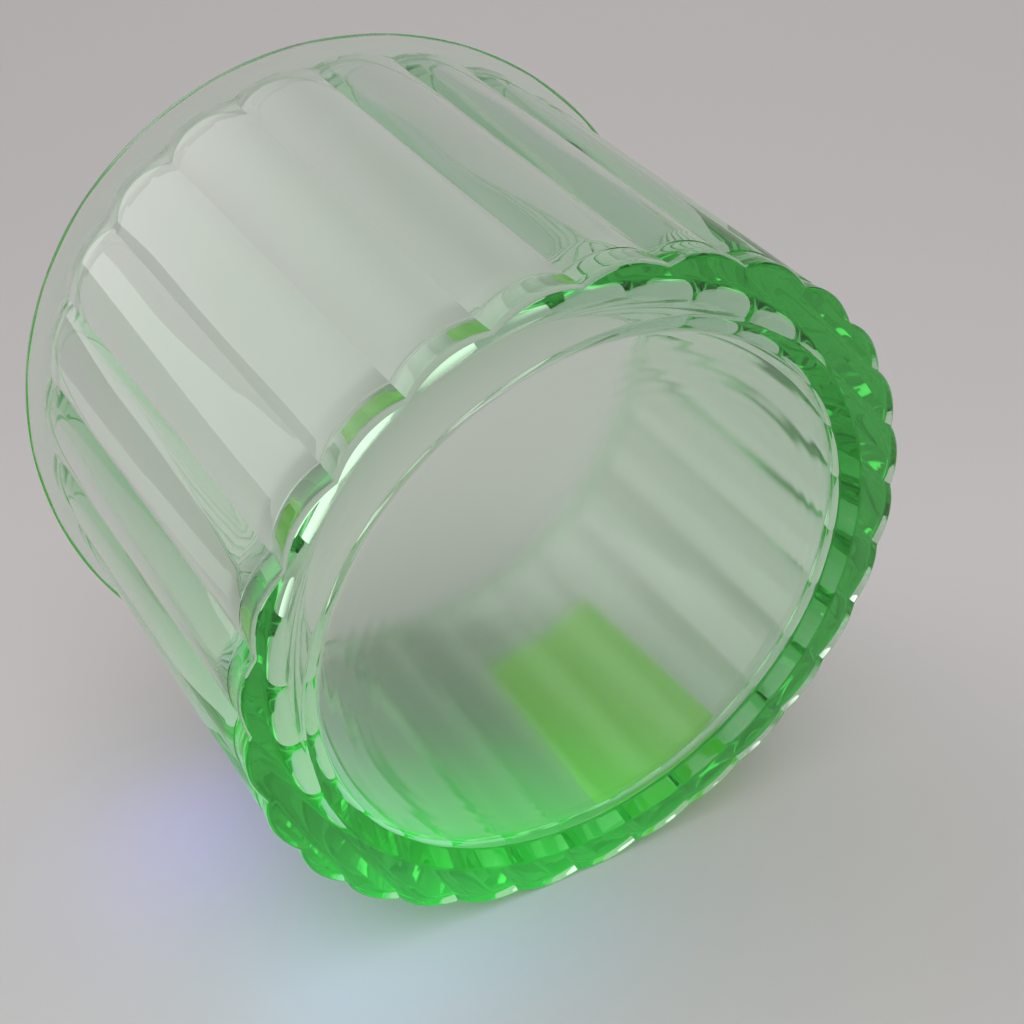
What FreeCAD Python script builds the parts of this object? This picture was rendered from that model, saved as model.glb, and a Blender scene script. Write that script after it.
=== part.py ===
"""Round ribbed dish of pressed glass, with a blank price label stuck on its wall. Millimetres.

The dish stands on its foot at z = 0, its axis is +Z and its mouth is open at the top. A half section of
the plain body is turned round the axis, one rib is lofted up the wall and repeated, and the hollow of the
dish and the shallow recess under its floor are turned out. The label lies on the crests of the ribs.
"""

import FreeCAD, Part
import math
import os
import Sketcher

SIZES = {
    # the ribs
    "rib_count": 28,  # convex ribs round the wall, with a sharp valley between two
    "rib_rise": 1.25,  # crest of a rib over its valleys
    "rib_root": 8.0,  # how far a rib reaches in behind its valleys, into the body
    # the outside, measured in the valleys
    "foot_radius": 58.1,  # outer edge of the face that it stands on
    "foot_rise": 4.8,  # height of the upright band round the foot
    "wall_foot_radius": 58.3,  # top of the band, where the wall begins to flare
    "wall_mouth_radius": 69.3,  # wall where the collar begins
    "wall_top": 89.3,  # height at which the collar begins
    "body_inset": 1.0,  # the plain body stays this far behind the valleys
    # the plain collar round the mouth
    "collar_radius": 73.1,
    "collar_slope": 3.2,  # height of its slanted underside
    "dish_height": 95.0,
    "rim_rounding": 2.0,
    # the inside
    "floor_top": 6.6,
    "floor_radius": 53.0,
    "mouth_radius": 66.6,
    "floor_rounding": 7.8,
    # the recess under the floor
    "recess_depth": 2.2,
    "recess_radius": 48.0,
    "recess_flare": 2.7,  # how much wider the recess is at the foot
    # the price label
    "label_height": 57.0,
    "label_width": 32.0,
    "label_sheet": 0.2,
    "label_corner": 3.0,
    "label_bottom": 9.0,  # height of its lower edge above the foot
    "label_gap": 0.1,  # the gum under the label
    "label_turn": 109.0,  # degrees from +X to the middle of the label
}

doc = FreeCAD.newDocument("RibbedDish")


class Length:
    """A size that knows its number and the expression that gives it from the sheet."""

    def __init__(self, number, text):
        self.number = number
        self.text = text

    def __add__(self, other):
        return Length(self.number + other.number, f"({self.text} + {other.text})")

    def __sub__(self, other):
        return Length(self.number - other.number, f"({self.text} - {other.text})")

    def __mul__(self, factor):
        return Length(self.number * factor, f"({self.text} * {factor})")


def size(name):
    """The size with this name in the sheet."""
    return Length(SIZES[name], f"Sizes.{name}")


ZERO = Length(0.0, "0")


def make_sheet():
    """The spreadsheet of driving sizes, one named cell each."""
    sheet = doc.addObject("Spreadsheet::Sheet", "Sizes")
    for row, (name, value) in enumerate(SIZES.items(), start=1):
        sheet.set(f"A{row}", name)
        sheet.set(f"B{row}", str(value))
        sheet.setAlias(f"B{row}", name)
    doc.recompute()


def origin_plane(body, role):
    """The body's own origin plane with this role."""
    return next(f for f in body.Origin.OriginFeatures if f.Role == role)


def new_sketch(body, name, role, lift=None):
    """A sketch on one of the body's origin planes, lifted off it if a size is given."""
    sketch = body.newObject("Sketcher::SketchObject", name)
    sketch.AttachmentSupport = [(origin_plane(body, role), "")]
    sketch.MapMode = "FlatFace"
    if lift is not None:
        sketch.setExpression("AttachmentOffset.Base.z", lift.text)
    return sketch


def bind(sketch, constraint, length):
    """Adds a constraint whose value is a size of the sheet."""
    index = sketch.addConstraint(constraint)
    sketch.setExpression(f"Constraints[{index}]", length.text)


def draw_outline(sketch, corners):
    """A closed outline of straight sides. Each corner's two distances from the origin are sizes."""
    points = [FreeCAD.Vector(across.number, up.number, 0) for across, up in corners]
    sides = [
        sketch.addGeometry(Part.LineSegment(points[n - 1], points[n]), False) for n in range(len(points))
    ]
    for n, (across, up) in enumerate(corners):
        side = sides[n]
        following = sides[(n + 1) % len(sides)]
        sketch.addConstraint(Sketcher.Constraint("Coincident", side, 2, following, 1))
        if across is ZERO:
            sketch.addConstraint(Sketcher.Constraint("PointOnObject", side, 2, -2))
        else:
            bind(sketch, Sketcher.Constraint("DistanceX", -1, 1, side, 2, across.number), across)
        if up is ZERO:
            sketch.addConstraint(Sketcher.Constraint("PointOnObject", side, 2, -1))
        else:
            bind(sketch, Sketcher.Constraint("DistanceY", -1, 1, side, 2, up.number), up)


def turned(body, kind, name, corners):
    """A Revolution or Groove of an outline on the XZ plane, right round the axis."""
    sketch = new_sketch(body, name + "_outline", "XZ_Plane")
    draw_outline(sketch, corners)
    feature = body.newObject(f"PartDesign::{kind}", name)
    feature.Profile = sketch
    feature.ReferenceAxis = (sketch, ["V_Axis"])
    feature.Angle = 360.0
    body.Tip = feature
    doc.recompute()
    return feature


def circle_edges(shape, radius, height):
    """Names of the shape's round edges with this radius at this height."""
    names = []
    for number, edge in enumerate(shape.Edges, start=1):
        curve = edge.Curve
        if not isinstance(curve, Part.Circle):
            continue
        if abs(curve.Radius - radius) < 0.01 and abs(curve.Center.z - height) < 0.01:
            names.append(f"Edge{number}")
    return names


def rounded(body, name, base, edges, radius):
    """A fillet on some edges of the feature before it."""
    if not edges:
        raise RuntimeError(f"{name} found no edge to round")
    fillet = body.newObject("PartDesign::Fillet", name)
    fillet.Base = (base, edges)
    fillet.Radius = radius.number
    fillet.setExpression("Radius", radius.text)
    body.Tip = fillet
    doc.recompute()
    return fillet


def wall_radius(height):
    """Valley radius of the straight wall at a height, carried on past the collar's edge."""
    spread = SIZES["wall_mouth_radius"] - SIZES["wall_foot_radius"]
    slope = spread / (SIZES["wall_top"] - SIZES["foot_rise"])
    gain = "(Sizes.wall_mouth_radius - Sizes.wall_foot_radius) / (Sizes.wall_top - Sizes.foot_rise)"
    number = SIZES["wall_foot_radius"] + slope * (height.number - SIZES["foot_rise"])
    return Length(number, f"(Sizes.wall_foot_radius + {gain} * ({height.text} - Sizes.foot_rise))")


def rib_section(body, name, height, valley):
    """One rib cut across at a height: two radial sides, the crest's arc, and a chord inside the body."""
    sketch = new_sketch(body, name, "XY_Plane", height)
    half = math.pi / SIZES["rib_count"]
    root = valley - size("rib_root")
    crest = valley + size("rib_rise")

    def at(radius, angle):
        return FreeCAD.Vector(radius.number * math.cos(angle), radius.number * math.sin(angle), 0)

    right_side = sketch.addGeometry(Part.LineSegment(at(root, -half), at(valley, -half)), False)
    arc = sketch.addGeometry(Part.Arc(at(valley, -half), at(crest, 0), at(valley, half)), False)
    left_side = sketch.addGeometry(Part.LineSegment(at(valley, half), at(root, half)), False)
    chord = sketch.addGeometry(Part.LineSegment(at(root, half), at(root, -half)), False)
    loop = [right_side, arc, left_side, chord]
    for number, edge in enumerate(loop):
        following = loop[(number + 1) % len(loop)]
        sketch.addConstraint(Sketcher.Constraint("Coincident", edge, 2, following, 1))
    sketch.addConstraint(Sketcher.Constraint("PointOnObject", arc, 3, -1))
    for side in (right_side, left_side):
        sketch.addConstraint(Sketcher.Constraint("PointOnObject", -1, 1, side))
    # the two sides are the same length, so the rib is even about the X axis
    sketch.addConstraint(Sketcher.Constraint("Equal", right_side, left_side))
    between = Length(2 * half, "360 / Sizes.rib_count * 1deg")
    bind(sketch, Sketcher.Constraint("Angle", right_side, 1, left_side, 2, between.number), between)
    bind(sketch, Sketcher.Constraint("Distance", -1, 1, left_side, 1, valley.number), valley)
    bind(sketch, Sketcher.Constraint("Distance", -1, 1, left_side, 2, root.number), root)
    # the crest's height fixes the arc: its radius follows from the chord between valleys and the sagitta
    half_chord = valley.number * math.sin(half)
    sagitta = crest.number - valley.number * math.cos(half)
    arc_radius = (half_chord**2 + sagitta**2) / (2 * sagitta)
    sine = f"({valley.text} * sin(180deg / Sizes.rib_count))"
    rise = f"({crest.text} - {valley.text} * cos(180deg / Sizes.rib_count))"
    bind(
        sketch,
        Sketcher.Constraint("Radius", arc, arc_radius),
        Length(arc_radius, f"({sine} * {sine} + {rise} * {rise}) / (2 * {rise})"),
    )
    return sketch


def make_dish():
    """The glass: body and collar, ribs, hollow, and recess under the floor."""
    body = doc.addObject("PartDesign::Body", "Dish")
    body.Label = "dish"
    inset = size("body_inset")
    collar_low = size("wall_top") + size("collar_slope")
    plain = turned(
        body,
        "Revolution",
        "plain_body",
        [
            (ZERO, ZERO),
            (size("foot_radius") - inset, ZERO),
            (size("wall_foot_radius") - inset, size("foot_rise")),
            (size("wall_mouth_radius") - inset, size("wall_top")),
            (size("collar_radius"), collar_low),
            (size("collar_radius"), size("dish_height")),
            (ZERO, size("dish_height")),
        ],
    )
    rim = circle_edges(plain.Shape, SIZES["collar_radius"], SIZES["dish_height"])
    rounded(body, "rim_outside", plain, rim, size("rim_rounding"))

    heights = [ZERO, size("foot_rise"), collar_low]
    valleys = [size("foot_radius"), size("wall_foot_radius"), wall_radius(collar_low)]
    sections = [
        rib_section(body, f"rib_section_{n}", height, valley)
        for n, (height, valley) in enumerate(zip(heights, valleys), start=1)
    ]
    rib = body.newObject("PartDesign::AdditiveLoft", "rib")
    rib.Profile = sections[0]
    rib.Sections = sections[1:]
    rib.Ruled = True
    body.Tip = rib
    doc.recompute()
    ribs = body.newObject("PartDesign::PolarPattern", "ribs")
    ribs.Originals = [rib]
    ribs.Axis = (sections[0], ["N_Axis"])
    ribs.Angle = 360.0
    ribs.Occurrences = SIZES["rib_count"]
    ribs.setExpression("Occurrences", "Sizes.rib_count")
    body.Tip = ribs
    doc.recompute()

    hollow = turned(
        body,
        "Groove",
        "hollow",
        [
            (ZERO, size("floor_top")),
            (size("floor_radius"), size("floor_top")),
            (size("mouth_radius"), size("dish_height")),
            (ZERO, size("dish_height")),
        ],
    )
    corner = circle_edges(hollow.Shape, SIZES["floor_radius"], SIZES["floor_top"])
    floor_corner = rounded(body, "floor_corner", hollow, corner, size("floor_rounding"))
    mouth = circle_edges(floor_corner.Shape, SIZES["mouth_radius"], SIZES["dish_height"])
    rounded(body, "rim_inside", floor_corner, mouth, size("rim_rounding"))

    turned(
        body,
        "Groove",
        "recess",
        [
            (ZERO, ZERO),
            (size("recess_radius") + size("recess_flare"), ZERO),
            (size("recess_radius"), size("recess_depth")),
            (ZERO, size("recess_depth")),
        ],
    )
    return body


def make_label():
    """The blank label: a block with rounded corners, turned away inside and outside one thin cone."""
    body = doc.addObject("PartDesign::Body", "Label")
    body.Label = "price_label"
    width = size("label_width")
    block = body.newObject("PartDesign::AdditiveBox", "block")
    block.AttachmentSupport = [(origin_plane(body, "XY_Plane"), "")]
    block.MapMode = "FlatFace"
    places = {
        "Length": size("collar_radius"),
        "Width": width,
        "Height": size("label_height"),
        "AttachmentOffset.Base.y": width * -0.5,
        "AttachmentOffset.Base.z": size("label_bottom"),
    }
    for name, length in places.items():
        block.setExpression(name, length.text)
    body.Tip = block
    doc.recompute()
    across = [
        f"Edge{number}"
        for number, edge in enumerate(block.Shape.Edges, start=1)
        if abs(edge.Length - SIZES["collar_radius"]) < 0.01
    ]
    rounded(body, "rounded_corners", block, across, size("label_corner"))

    gummed = size("rib_rise") + size("label_gap")
    low = wall_radius(ZERO) + gummed
    high = wall_radius(size("dish_height")) + gummed
    top = size("dish_height")
    sheet = size("label_sheet")
    beyond = size("collar_radius") * 1.2
    turned(body, "Groove", "back", [(ZERO, ZERO), (low, ZERO), (high, top), (ZERO, top)])
    turned(body, "Groove", "front", [(low + sheet, ZERO), (beyond, ZERO), (beyond, top), (high + sheet, top)])
    turn = FreeCAD.Rotation(FreeCAD.Vector(0, 0, 1), SIZES["label_turn"])
    body.Placement = FreeCAD.Placement(FreeCAD.Vector(0, 0, 0), turn)
    body.setExpression("Placement.Rotation.Angle", "Sizes.label_turn * 1deg")
    return body


def check(bodies):
    """Stops if an object has failed or a piece isn't one valid closed solid."""
    for thing in doc.Objects:
        if "Invalid" in thing.State or "Error" in thing.State:
            raise RuntimeError(f"{thing.Name} has failed: {thing.State}")
    for body in bodies:
        shape = body.Shape
        if shape.isNull() or not shape.isValid() or len(shape.Solids) != 1:
            raise RuntimeError(f"{body.Label} isn't one valid solid")
        box = shape.BoundBox
        sides = f"{box.XLength:.2f} x {box.YLength:.2f} x {box.ZLength:.2f}"
        print(f"{body.Label}: {shape.Volume / 1000:.2f} cm3, {sides} mm, from z = {box.ZMin:.2f}")


make_sheet()
parts = [make_dish(), make_label()]
doc.recompute()
check(parts)
os.makedirs("parts", exist_ok=True)
for part in parts:
    part.Shape.exportStep(f"parts/{part.Label}.step")
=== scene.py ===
import math

import bpy
import numpy as np
from mathutils import Matrix, Vector


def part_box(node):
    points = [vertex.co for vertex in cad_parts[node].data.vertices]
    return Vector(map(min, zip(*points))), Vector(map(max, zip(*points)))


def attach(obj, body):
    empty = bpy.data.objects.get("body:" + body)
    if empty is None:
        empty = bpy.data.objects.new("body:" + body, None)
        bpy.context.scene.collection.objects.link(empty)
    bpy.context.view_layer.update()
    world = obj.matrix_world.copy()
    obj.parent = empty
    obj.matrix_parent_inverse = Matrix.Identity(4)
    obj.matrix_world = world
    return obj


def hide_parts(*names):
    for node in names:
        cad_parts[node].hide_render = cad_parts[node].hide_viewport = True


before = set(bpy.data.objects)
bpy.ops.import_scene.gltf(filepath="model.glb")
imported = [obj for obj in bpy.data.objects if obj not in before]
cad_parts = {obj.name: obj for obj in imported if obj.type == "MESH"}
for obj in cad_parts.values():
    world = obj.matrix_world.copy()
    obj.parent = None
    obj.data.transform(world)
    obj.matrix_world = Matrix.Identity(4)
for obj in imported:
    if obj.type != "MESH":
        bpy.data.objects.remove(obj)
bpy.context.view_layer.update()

MM = 0.001

# ---- the dish's sizes in millimetres -------------------------------------------------------------------
RIBS = 28
RIB_RISE = 1.25  # crest of a rib over the valleys beside it
STEPS_PER_RIB = 16  # columns of the mesh across one rib
ARCH_RISE = 1.5  # how much higher a rib ends at its crest than in its valleys

FOOT_RADIUS = 58.1  # valleys, at the edge of the face that it stands on
FOOT_EDGE = 0.6  # rounding of that edge
FOOT_RIB_SHARE = 0.8  # how much of the ribs the face itself has at that edge
BAND_TOP = 4.8  # top of the upright band round the foot
STEP_UNDER = 0.2  # the small step out to the wall starts this far under the band's top
STEP_OVER = 0.25  # and ends this far over it, where the mould's ring met its base
STEP_ROUND = 0.05  # how far its two edges stand in from the band's and the wall's radius
STEP_RISE = 0.1  # from its lower edge, at the band's top, to its upper edge
WALL_FOOT_RADIUS = 58.3
WALL_TOP = 89.3  # where the collar begins
WALL_TOP_RADIUS = 69.3
ARCH_START = 60.0  # height from which the ribs' crests run ahead of their valleys

COLLAR_RADIUS = 1000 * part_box("dish")[1].x  # the collar is the widest part of the dish
DISH_HEIGHT = 1000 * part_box("dish")[1].z
COLLAR_LOW = 92.3  # where the collar's underside ends
RIM_ROUNDING = 1.5
MOUTH_RADIUS = 66.6

FLOOR_TOP = 6.6
FLOOR_RADIUS = 53.0  # where the wall's inside would meet the floor without the rounding
FLOOR_ROUNDING = 7.8

RECESS_DEPTH = 2.2
RECESS_RADIUS = 48.0
RECESS_FLARE = 2.7  # how much wider the recess is at the foot
RECESS_ROUNDING = 1.0
RIPPLE_START = 36.0  # radius from which the recess has faint pressing rings
RIPPLE_FADE = 6.0  # over which they come in
RIPPLE_HEIGHT = 0.01
RIPPLE_SPACING = 2.1
MIDDLE = 0.5  # radius of the small round that closes each end of the surface
SHARP_EDGE = math.radians(28)

# ---- how the dish lies and is looked at ----------------------------------------------------------------
TABLE_SIDE = math.radians(134.9)  # direction from the axis to the line on which the dish would lie
CAMERA_PLACE = Vector((11.52, -125.07, -98.54))  # millimetres, in the dish's own frame
CAMERA_FORWARD = Vector((-0.05679, 0.68193, 0.72921))
CAMERA_UP = Vector((0.74596, -0.45647, 0.48496))
LENS = 35.3  # millimetres, for a sensor 36 mm wide
BOARD_FRONT = -1.5  # metres from where the collar touches the board, as are the next three
BOARD_HALF_WIDTH = 2.5
SWEEP_START = 0.16  # here the level board starts to curve up behind the dish
SWEEP_RADIUS = 0.35
ROOM_LOW = 0.40  # brightness of the room, but for the window
ROOM_HIGH = 1.5  # and in the middle of the window
WINDOW_WAY = (-0.88, 0.35, 0.36)  # direction of its middle: right, ahead, up
WINDOW_EDGE = 0.62  # cosine of the angle from its middle at which it has faded out

# ---- the glass, its painted glow and the label's paper -------------------------------------------------
ABSORPTION = (0.0, 0.80, 0.12, 1.0)  # red and blue are lost, and green mostly passes
ABSORPTION_DENSITY = 27.0
TOOL_ROUGHNESS = 0.11  # of the floor and the recess, which the tool touched
TOOL_EDGE, TOOL_FULL = 49.0, 44.0  # radii between which its touch comes in
TOOL_CLEAR, TOOL_TOUCH = 8.0, 7.2  # heights between which it comes in, down to the floor
RIM_ROUGHNESS = 0.12  # where many covers have wiped the rim
WEAR_START, WEAR_FULL = 90.0, 93.0  # heights between which the wear comes in
# painted glow: green emission standing in for the fluorescence that an ultraviolet lamp lights in uranium
# glass, strongest in the foot and on that lamp's side
PAINTED_GLOW = 0.16
PAINTED_GLOW_SIDE = (-0.93, 0.25, -0.20)  # the way from the middle of the foot to the ultraviolet lamp whose glow is painted
PAINTED_GLOW_START, PAINTED_GLOW_FULL = 12.0, 62.0  # distances that way between which the painted glow comes in
PAINTED_GLOW_TOP, PAINTED_GLOW_FOOT = 55.0, 2.0  # heights between which it comes in, down the wall
WALL_PAINTED_GLOW = 0.02  # share of the painted glow high on the wall
SHADE_PAINTED_GLOW = 0.04  # share of the painted glow on the side away from the lamp
FIBRE_SPACING = 0.0008  # metres between the paper's flocks of fibres
FIBRE_HEIGHT = 0.00002  # metres that they stand out


def linear(colour):
    """An sRGB hex colour as linear RGBA."""
    parts = [int(colour[n : n + 2], 16) / 255 for n in (1, 3, 5)]
    return [p / 12.92 if p <= 0.04045 else ((p + 0.055) / 1.055) ** 2.4 for p in parts] + [1.0]


# ---- the dish's mesh -----------------------------------------------------------------------------------
def rib_crown(turn):
    """Share of the rib's rise at an angle: 0 in the valleys and 1 on the crest. A rib is an arc of a
    circle through its crest and both valleys, r = c cos(a) + sqrt(p^2 - c^2 sin(a)^2) for an arc of
    radius p whose centre lies c from the axis."""
    pitch = 2 * math.pi / RIBS
    off = (turn + pitch / 2) % pitch - pitch / 2
    valley = (FOOT_RADIUS + WALL_TOP_RADIUS) / 2
    half_chord = valley * math.sin(pitch / 2)
    sagitta = valley + RIB_RISE - valley * math.cos(pitch / 2)
    arc = (half_chord**2 + sagitta**2) / (2 * sagitta)
    centre = valley + RIB_RISE - arc
    radius = centre * np.cos(off) + np.sqrt(arc**2 - (centre * np.sin(off)) ** 2)
    return (radius - valley) / RIB_RISE


def smooth(share):
    """Eases a share from 0 to 1 with level ends."""
    share = np.clip(share, 0, 1)
    return share * share * (3 - 2 * share)


def straight(start, end, count):
    """Points from one (radius, height) to another, without the last."""
    along = np.linspace(0, 1, count, endpoint=False)[:, None]
    return np.array(start) + along * (np.array(end) - np.array(start))


def arc(centre, radius, start, end, count):
    """Points on a circle in the half section between two angles in degrees, without the last."""
    angle = np.radians(np.linspace(start, end, count, endpoint=False))
    return np.array(centre) + radius * np.stack([np.cos(angle), np.sin(angle)], 1)


def rounded(corners, radii, count):
    """Points along straight runs whose inner corners are arcs, without the last corner."""
    corners = np.asarray(corners, float)
    points = [corners[:1]]
    for before, corner, after, radius in zip(corners, corners[1:], corners[2:], radii):
        back = (before - corner) / np.linalg.norm(before - corner)
        on = (after - corner) / np.linalg.norm(after - corner)
        half = math.acos(np.clip(back @ on, -1, 1)) / 2
        middle = (back + on) / np.linalg.norm(back + on)
        centre = corner + middle * radius / math.sin(half)
        start, end = corner + back * radius / math.tan(half), corner + on * radius / math.tan(half)
        share = np.linspace(0, 1, count)[:, None]
        swing = start * (1 - share) + end * share - centre
        points.append(centre + radius * swing / np.linalg.norm(swing, axis=1)[:, None])
    return np.concatenate(points)


def half_section():
    """Rows of (radius, height, rib share, arch share) from the middle of the recess, under the foot,
    up the outside, over the rim, down the inside and to the middle of the floor."""
    rows = []

    def add(points, rib=0.0, arch=0.0):
        points = np.asarray(points, float)
        shares = [np.broadcast_to(share, len(points)) for share in (rib, arch)]
        rows.append(np.column_stack([points, *shares]))

    # the recess: flat, with faint pressing rings near its side, which slopes out to the foot ring
    ripple_end = RECESS_RADIUS - RECESS_ROUNDING
    add(straight((MIDDLE, RECESS_DEPTH), (RIPPLE_START, RECESS_DEPTH), 8))
    radius = np.linspace(RIPPLE_START, ripple_end, 28, endpoint=False)
    fade = smooth((radius - RIPPLE_START) / RIPPLE_FADE)
    ripple = RIPPLE_HEIGHT * np.sin(2 * math.pi * radius / RIPPLE_SPACING) * fade
    add(np.column_stack([radius, RECESS_DEPTH + ripple]))
    edge = RECESS_RADIUS + RECESS_FLARE
    side_start, side_end = (RECESS_RADIUS, RECESS_DEPTH), (edge, 0.0)
    ring_start = (edge + RECESS_ROUNDING, 0.0)
    corners = [(ripple_end, RECESS_DEPTH), side_start, side_end, ring_start]
    add(rounded(corners, [RECESS_ROUNDING] * 2, 8))
    # the foot ring, whose rounded outer edge takes up the ribs
    edge_start = FOOT_RADIUS - FOOT_EDGE
    ring = straight(ring_start, (edge_start, 0.0), 8)
    add(ring, rib=FOOT_RIB_SHARE * smooth((ring[:, 0] - edge) / (edge_start - edge)))
    edge_round = arc((edge_start, FOOT_EDGE), FOOT_EDGE, -90, 0, 8)
    add(edge_round, rib=FOOT_RIB_SHARE + (1 - FOOT_RIB_SHARE) * edge_round[:, 1] / FOOT_EDGE)
    # the band, the step and the wall
    band_end, wall_start = BAND_TOP - STEP_UNDER, BAND_TOP + STEP_OVER
    add(straight((FOOT_RADIUS, FOOT_EDGE), (FOOT_RADIUS, band_end), 5), rib=1.0)
    step_low = (FOOT_RADIUS + STEP_ROUND, BAND_TOP)
    step_high = (WALL_FOOT_RADIUS - STEP_ROUND, BAND_TOP + STEP_RISE)
    add([(FOOT_RADIUS, band_end), step_low, step_high], rib=1.0)
    wall = straight((WALL_FOOT_RADIUS, wall_start), (WALL_TOP_RADIUS, WALL_TOP), 40)
    add(wall, rib=1.0, arch=smooth((wall[:, 1] - ARCH_START) / (WALL_TOP - ARCH_START)))
    # the collar's underside swells out of the ribs, then the collar and the rounded rim
    under = np.linspace(0, 1, 10, endpoint=False)
    swell = np.column_stack([
        WALL_TOP_RADIUS + (COLLAR_RADIUS - WALL_TOP_RADIUS) * under**1.6,
        WALL_TOP + (COLLAR_LOW - WALL_TOP) * under,
    ])
    add(swell, rib=(1 - under) ** 1.5, arch=1 - under)
    top = DISH_HEIGHT - RIM_ROUNDING
    add(straight((COLLAR_RADIUS, COLLAR_LOW), (COLLAR_RADIUS, top), 2))
    add(arc((COLLAR_RADIUS - RIM_ROUNDING, top), RIM_ROUNDING, 0, 90, 10))
    inner = MOUTH_RADIUS + RIM_ROUNDING
    add(straight((COLLAR_RADIUS - RIM_ROUNDING, DISH_HEIGHT), (inner, DISH_HEIGHT), 3))
    add(arc((inner, top), RIM_ROUNDING, 90, 180, 10))
    # the inside: a straight wall and a rounded corner to the floor
    lean = math.atan2(MOUTH_RADIUS - FLOOR_RADIUS, DISH_HEIGHT - FLOOR_TOP)
    reach = FLOOR_ROUNDING * math.tan((math.pi / 2 - lean) / 2)
    corner = np.array((FLOOR_RADIUS - reach, FLOOR_TOP + FLOOR_ROUNDING))
    wall_end = np.array((FLOOR_RADIUS, FLOOR_TOP)) + reach * np.array((math.sin(lean), math.cos(lean)))
    add(straight((MOUTH_RADIUS, top), wall_end, 34))
    add(arc(corner, FLOOR_ROUNDING, -math.degrees(lean), -90, 14))
    add(straight((FLOOR_RADIUS - reach, FLOOR_TOP), (MIDDLE, FLOOR_TOP), 8))
    add([(MIDDLE, FLOOR_TOP)])
    return np.concatenate(rows)


def unevenness(turn, height):
    """Slow hills and hollows of pressed glass, a sum of a few sine waves round and up the wall, in mm."""
    return (
        0.030 * np.sin(5 * turn + 0.09 * height)
        + 0.022 * np.sin(11 * turn - 0.13 * height + 1.3)
        + 0.015 * np.sin(19 * turn + 0.21 * height + 2.1)
    )


def turned_surface(name, section, columns):
    """A closed mesh. Every row of the half section is carried round the axis, its radius raised by its rib
    share of the rib's crown and its height by its arch share. A point on the axis closes both ends."""
    turn = np.arange(columns) * 2 * math.pi / columns
    radius, height, rib, arch = (section[:, n][:, None] for n in range(4))
    crown = rib_crown(turn)[None, :]
    bumps = unevenness(turn[None, :], height) * smooth((radius - 20) / 25)  # none near the axis
    around = radius + RIB_RISE * rib * crown + bumps
    up = np.broadcast_to(height + ARCH_RISE * arch * crown, around.shape)
    points = np.stack([around * np.cos(turn), around * np.sin(turn), up], 2).reshape(-1, 3)
    ends = [(0.0, 0.0, section[0, 1]), (0.0, 0.0, section[-1, 1])]
    vertices = np.concatenate([points, ends]) * MM

    rows = len(section)
    row, column = np.meshgrid(np.arange(rows - 1), np.arange(columns), indexing="ij")
    here, onward = row * columns, (row + 1) * columns
    following = (column + 1) % columns
    quads = np.stack([here + column, here + following, onward + following, onward + column], -1)
    quads = quads.reshape(-1, 4)
    first = np.arange(columns)
    second = (first + 1) % columns
    low_fan = np.stack([np.full(columns, rows * columns), second, first], 1)
    last_row = (rows - 1) * columns
    high_fan = np.stack([np.full(columns, rows * columns + 1), last_row + first, last_row + second], 1)

    corners = np.concatenate([quads.ravel(), low_fan.ravel(), high_fan.ravel()])
    sizes = np.concatenate([np.full(len(quads), 4), np.full(2 * columns, 3)])
    mesh = bpy.data.meshes.new(name)
    mesh.vertices.add(len(vertices))
    mesh.vertices.foreach_set("co", vertices.astype(np.float32).ravel())
    mesh.loops.add(len(corners))
    mesh.loops.foreach_set("vertex_index", corners.astype(np.int32))
    mesh.polygons.add(len(sizes))
    mesh.polygons.foreach_set("loop_start", (np.cumsum(sizes) - sizes).astype(np.int32))
    mesh.polygons.foreach_set("use_smooth", np.ones(len(sizes), bool))
    mesh.update(calc_edges=True)
    mesh.validate()
    mesh.set_sharp_from_angle(angle=SHARP_EDGE)
    piece = bpy.data.objects.new(name, mesh)
    bpy.context.collection.objects.link(piece)
    return piece


# ---- materials -----------------------------------------------------------------------------------------
def node(tree, kind, settings=(), **links):
    """Adds a node, sets its fields and unlinked sockets, and links the sockets given as keywords."""
    made = tree.nodes.new(kind)
    for field, value in dict(settings).items():
        if isinstance(field, int) or field in made.inputs:
            made.inputs[field].default_value = value
        else:
            setattr(made, field, value)
    for socket, source in links.items():
        socket = int(socket[1:]) if socket[1:].isdigit() else socket.replace("_", " ")
        tree.links.new(source, made.inputs[socket])
    return made.outputs


def new_material(name):
    """An empty node material and its tree."""
    material = bpy.data.materials.new(name)
    material.use_nodes = True
    material.node_tree.nodes.clear()
    return material, material.node_tree


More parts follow.
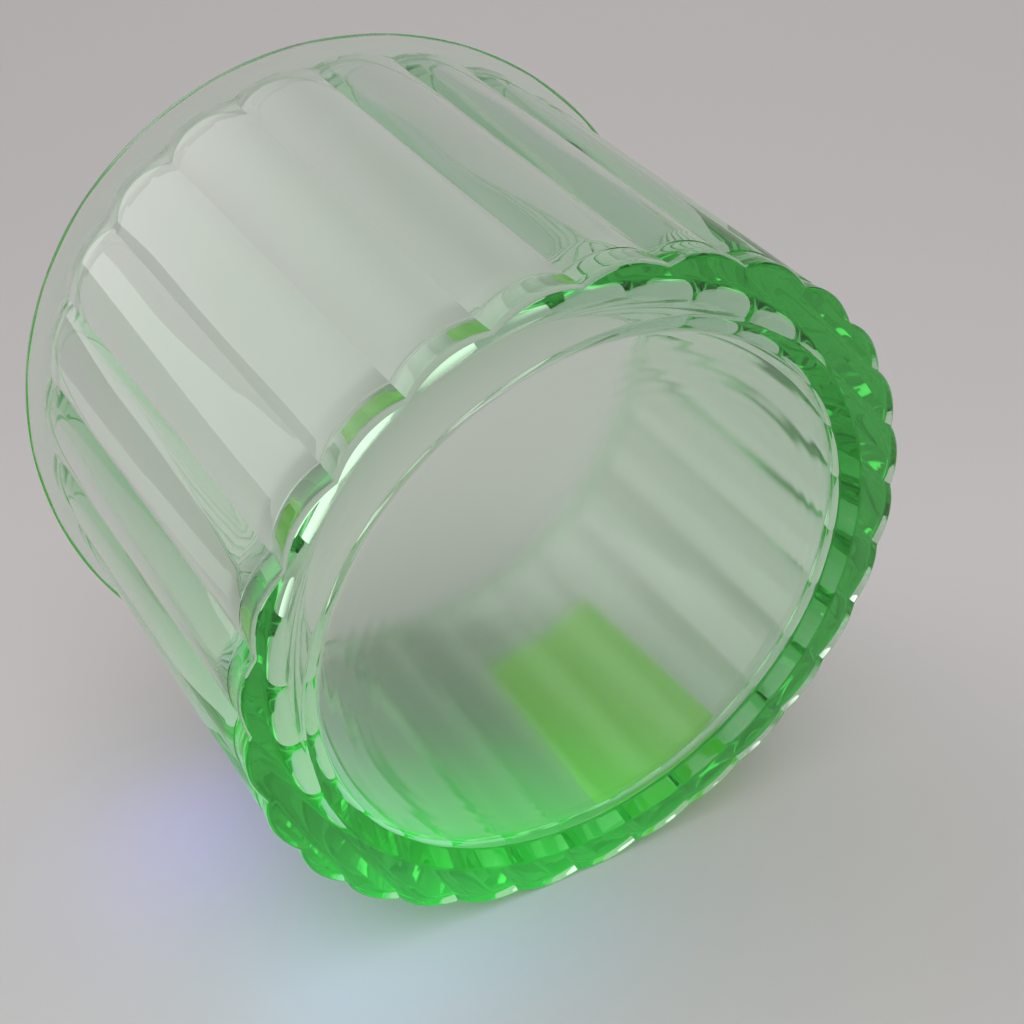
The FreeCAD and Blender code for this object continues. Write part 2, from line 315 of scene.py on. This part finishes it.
def pressed_uranium_glass():
    """Pale green soda-lime glass with a little uranium, pressed in an iron mould and fire-polished:
    clear and glossy, green where one looks along it, and with a painted green glow for its fluorescence
    under ultraviolet light."""
    material, tree = new_material("pressed_uranium_glass")
    place = node(tree, "ShaderNodeTexCoord")["Object"]
    height = node(tree, "ShaderNodeSeparateXYZ", Vector=place)["Z"]

    def ramp(value, start, end, low, high, shape="LINEAR"):
        """Goes from low to high while a value goes from start to end millimetres."""
        settings = {"interpolation_type": shape, 1: start * MM, 2: end * MM, 3: low, 4: high}
        return node(tree, "ShaderNodeMapRange", settings, _0=value)[0]

    def product(first, second):
        return node(tree, "ShaderNodeMath", {"operation": "MULTIPLY"}, _0=first, _1=second)[0]

    # painted glow, for the fluorescence an ultraviolet lamp would light: strongest in the foot ring and on
    # the side where that lamp would light it
    foot = ramp(height, PAINTED_GLOW_TOP, PAINTED_GLOW_FOOT, WALL_PAINTED_GLOW, 1.0, "SMOOTHSTEP")
    painted_glow_lamp_side = {"operation": "DOT_PRODUCT", 1: PAINTED_GLOW_SIDE}
    towards = node(tree, "ShaderNodeVectorMath", painted_glow_lamp_side, _0=place)["Value"]
    side = ramp(towards, PAINTED_GLOW_START, PAINTED_GLOW_FULL, SHADE_PAINTED_GLOW, 1.0, "SMOOTHSTEP")
    painted_glow_strength = node(tree, "ShaderNodeMath", {"operation": "MULTIPLY", 1: PAINTED_GLOW}, _0=product(foot, side))[0]
    # the tool leaves the floor and the recess a little less smooth than the rest
    around = node(tree, "ShaderNodeVectorMath", {"operation": "MULTIPLY", 1: (1, 1, 0)}, _0=place)[0]
    radius = node(tree, "ShaderNodeVectorMath", {"operation": "LENGTH"}, _0=around)["Value"]
    disc = ramp(radius, TOOL_EDGE, TOOL_FULL, 0.0, 1.0)
    floor = ramp(height, TOOL_CLEAR, TOOL_TOUCH, 0.0, TOOL_ROUGHNESS)
    # and wear has taken a little of the rim's polish
    worn = ramp(height, WEAR_START, WEAR_FULL, 0.0, RIM_ROUGHNESS)
    roughness = node(tree, "ShaderNodeMath", {"operation": "ADD"}, _0=product(disc, floor), _1=worn)[0]
    shader = node(tree, "ShaderNodeBsdfPrincipled", {
        "Base Color": (1, 1, 1, 1), "IOR": 1.52, "Transmission Weight": 1.0,
        "Emission Color": linear("#10e03c")}, Emission_Strength=painted_glow_strength, Roughness=roughness)[0]
    depth = {"Color": ABSORPTION, "Density": ABSORPTION_DENSITY}
    body = node(tree, "ShaderNodeVolumeAbsorption", depth)[0]
    node(tree, "ShaderNodeOutputMaterial", Surface=shader, Volume=body)
    return material


def label_paper():
    """Fluorescent lime paper, matt, with a faint painted glow for the fluorescence such paper shows in
    daylight, and a little uneven in colour and surface from its fibres, which are drawn coarser than real
    ones so that they show."""
    material, tree = new_material("fluorescent_label_paper")
    place = node(tree, "ShaderNodeTexCoord")["Object"]
    fibres = node(tree, "ShaderNodeTexNoise", {"Scale": 1 / FIBRE_SPACING, "Detail": 3.0}, Vector=place)[0]
    shades = {"data_type": "RGBA", 6: linear("#72b71b"), 7: linear("#86ca21")}
    lime = node(tree, "ShaderNodeMix", shades, _0=fibres)[2]
    surface = node(tree, "ShaderNodeBump", {"Strength": 0.4, "Distance": FIBRE_HEIGHT}, Height=fibres)[0]
    # painted glow: emission in the paper's own lime stands in for its fluorescence in daylight
    shader = node(tree, "ShaderNodeBsdfPrincipled", {"Roughness": 0.6, "Emission Strength": 0.35},
                  Base_Color=lime, Emission_Color=lime, Normal=surface)[0]
    node(tree, "ShaderNodeOutputMaterial", Surface=shader)
    return material


def one_sided_board():
    """Pale matt board, seen only from its upper side."""
    material, tree = new_material("matt_board")
    shader = node(tree, "ShaderNodeBsdfDiffuse", {"Color": linear("#e4e2e0")})[0]
    clear = node(tree, "ShaderNodeBsdfTransparent")[0]
    behind = node(tree, "ShaderNodeNewGeometry")["Backfacing"]
    mix = node(tree, "ShaderNodeMixShader", _0=behind, _1=shader, _2=clear)[0]
    node(tree, "ShaderNodeOutputMaterial", Surface=mix)
    return material


# ---- the room round the lying dish ---------------------------------------------------------------------
def room_frame():
    """Matrix from room coordinates (right, ahead, up, in metres, from where the collar touches the board)
    to the dish's own. The dish lies on its side, and up is square to the line through foot crest and
    collar."""
    run = COLLAR_LOW - BAND_TOP
    rise = COLLAR_RADIUS - (WALL_FOOT_RADIUS + RIB_RISE)
    lean = math.atan2(rise, run)
    side = Vector((math.cos(TABLE_SIDE), math.sin(TABLE_SIDE), 0))
    up = (-math.cos(lean) * side + Vector((0, 0, math.sin(lean)))).normalized()
    ahead = (CAMERA_FORWARD - CAMERA_FORWARD.dot(up) * up).normalized()
    right = ahead.cross(up)
    touch = (side * COLLAR_RADIUS + Vector((0, 0, COLLAR_LOW))) * MM
    return Matrix.Translation(touch) @ Matrix((right, ahead, up)).transposed().to_4x4()


def make_stage(room):
    """A board that runs level under the dish and then curves up behind it."""
    turn = np.radians(np.linspace(0, 90, 25))
    bend = [(SWEEP_START + SWEEP_RADIUS * math.sin(a), SWEEP_RADIUS * (1 - math.cos(a))) for a in turn]
    profile = [(BOARD_FRONT, 0.0)] + bend
    sides = (-BOARD_HALF_WIDTH, BOARD_HALF_WIDTH)
    points = [room @ Vector((across, ahead, up)) for across in sides for ahead, up in profile]
    count = len(profile)
    faces = [(n, n + count, n + count + 1, n + 1) for n in range(count - 1)]
    mesh = bpy.data.meshes.new("board")
    mesh.from_pydata(points, [], faces)
    mesh.polygons.foreach_set("use_smooth", [True] * len(faces))
    mesh.materials.append(one_sided_board())
    board = bpy.data.objects.new("board", mesh)
    bpy.context.collection.objects.link(board)


def make_camera():
    """The camera, by where it stands, where it looks and what it holds upwards."""
    data = bpy.data.cameras.new("camera")
    data.lens = LENS
    data.sensor_width = 36.0
    camera = bpy.data.objects.new("camera", data)
    bpy.context.collection.objects.link(camera)
    back = -CAMERA_FORWARD.normalized()
    right = CAMERA_UP.cross(back).normalized()
    turned = Matrix((right, back.cross(right), back)).transposed()
    camera.matrix_world = Matrix.Translation(CAMERA_PLACE * MM) @ turned.to_4x4()
    bpy.context.scene.camera = camera


def soft_light(room, name, place, aim, size, power, colour):
    """An area light at a room place, turned to another. It lights the board and isn't mirrored in the
    glass, which mirrors the room."""
    data = bpy.data.lights.new(name, "AREA")
    data.shape = "RECTANGLE"
    data.size, data.size_y = size
    data.energy = power
    data.color = linear(colour)[:3]
    light = bpy.data.objects.new(name, data)
    bpy.context.collection.objects.link(light)
    start, end = room @ Vector(place), room @ Vector(aim)
    light.visible_glossy = light.visible_transmission = False
    turn = (end - start).to_track_quat("-Z", "Y").to_matrix().to_4x4()
    light.matrix_world = Matrix.Translation(start) @ turn


def make_world(room):
    """An evenly dim, pale room with one wide window, which fades out towards its edge."""
    world = bpy.data.worlds.new("room")
    bpy.context.scene.world = world
    world.use_nodes = True
    tree = world.node_tree
    tree.nodes.clear()
    way = node(tree, "ShaderNodeTexCoord")["Generated"]
    window = (room.to_3x3() @ Vector(WINDOW_WAY)).normalized()[:]
    towards = node(tree, "ShaderNodeVectorMath", {"operation": "DOT_PRODUCT", 1: window}, _0=way)["Value"]
    level = node(tree, "ShaderNodeMapRange", {
        "interpolation_type": "SMOOTHSTEP", 1: WINDOW_EDGE, 2: 1.0, 3: ROOM_LOW, 4: ROOM_HIGH,
    }, _0=towards)[0]
    room_light = node(tree, "ShaderNodeBackground", {"Color": linear("#fffbfd")}, Strength=level)[0]
    node(tree, "ShaderNodeOutputWorld", Surface=room_light)


# ---- the pieces ----------------------------------------------------------------------------------------
def make_dish():
    """The pressed dish in one piece, with its glass."""
    dish = turned_surface("ribbed_dish", half_section(), RIBS * STEPS_PER_RIB)
    dish.data.materials.append(pressed_uranium_glass())
    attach(dish, "root")
    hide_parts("dish")


def make_label():
    """The blank price label, whose shape is ready, gets its paper."""
    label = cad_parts["price_label"]
    label.data.materials.clear()
    label.data.materials.append(label_paper())


make_dish()
make_label()
room = room_frame()
make_stage(room)
make_camera()
make_world(room)
soft_light(room, "ceiling_lamp", (0.1, -0.6, 0.9), (0.05, -0.15, 0), (0.8, 0.8), 2.7, "#ffffff")
# two small lamps for the violet and the blue that an ultraviolet lamp leaves on the board
violet_place, violet_aim = (-0.022, -0.068, 0.022), (-0.020, -0.070, 0)
soft_light(room, "violet_lamp", violet_place, violet_aim, (0.04, 0.04), 0.0040, "#7a70ff")
blue_place, blue_aim = (0.020, -0.098, 0.024), (0.022, -0.092, 0)
soft_light(room, "blue_lamp", blue_place, blue_aim, (0.06, 0.03), 0.0042, "#40b8ff")
bpy.context.scene.view_settings.view_transform = "Standard"
# light is turned back inside the thick foot many times before it leaves
light_paths = bpy.context.scene.cycles
light_paths.max_bounces = 28
light_paths.glossy_bounces = 20
light_paths.transmission_bounces = 20
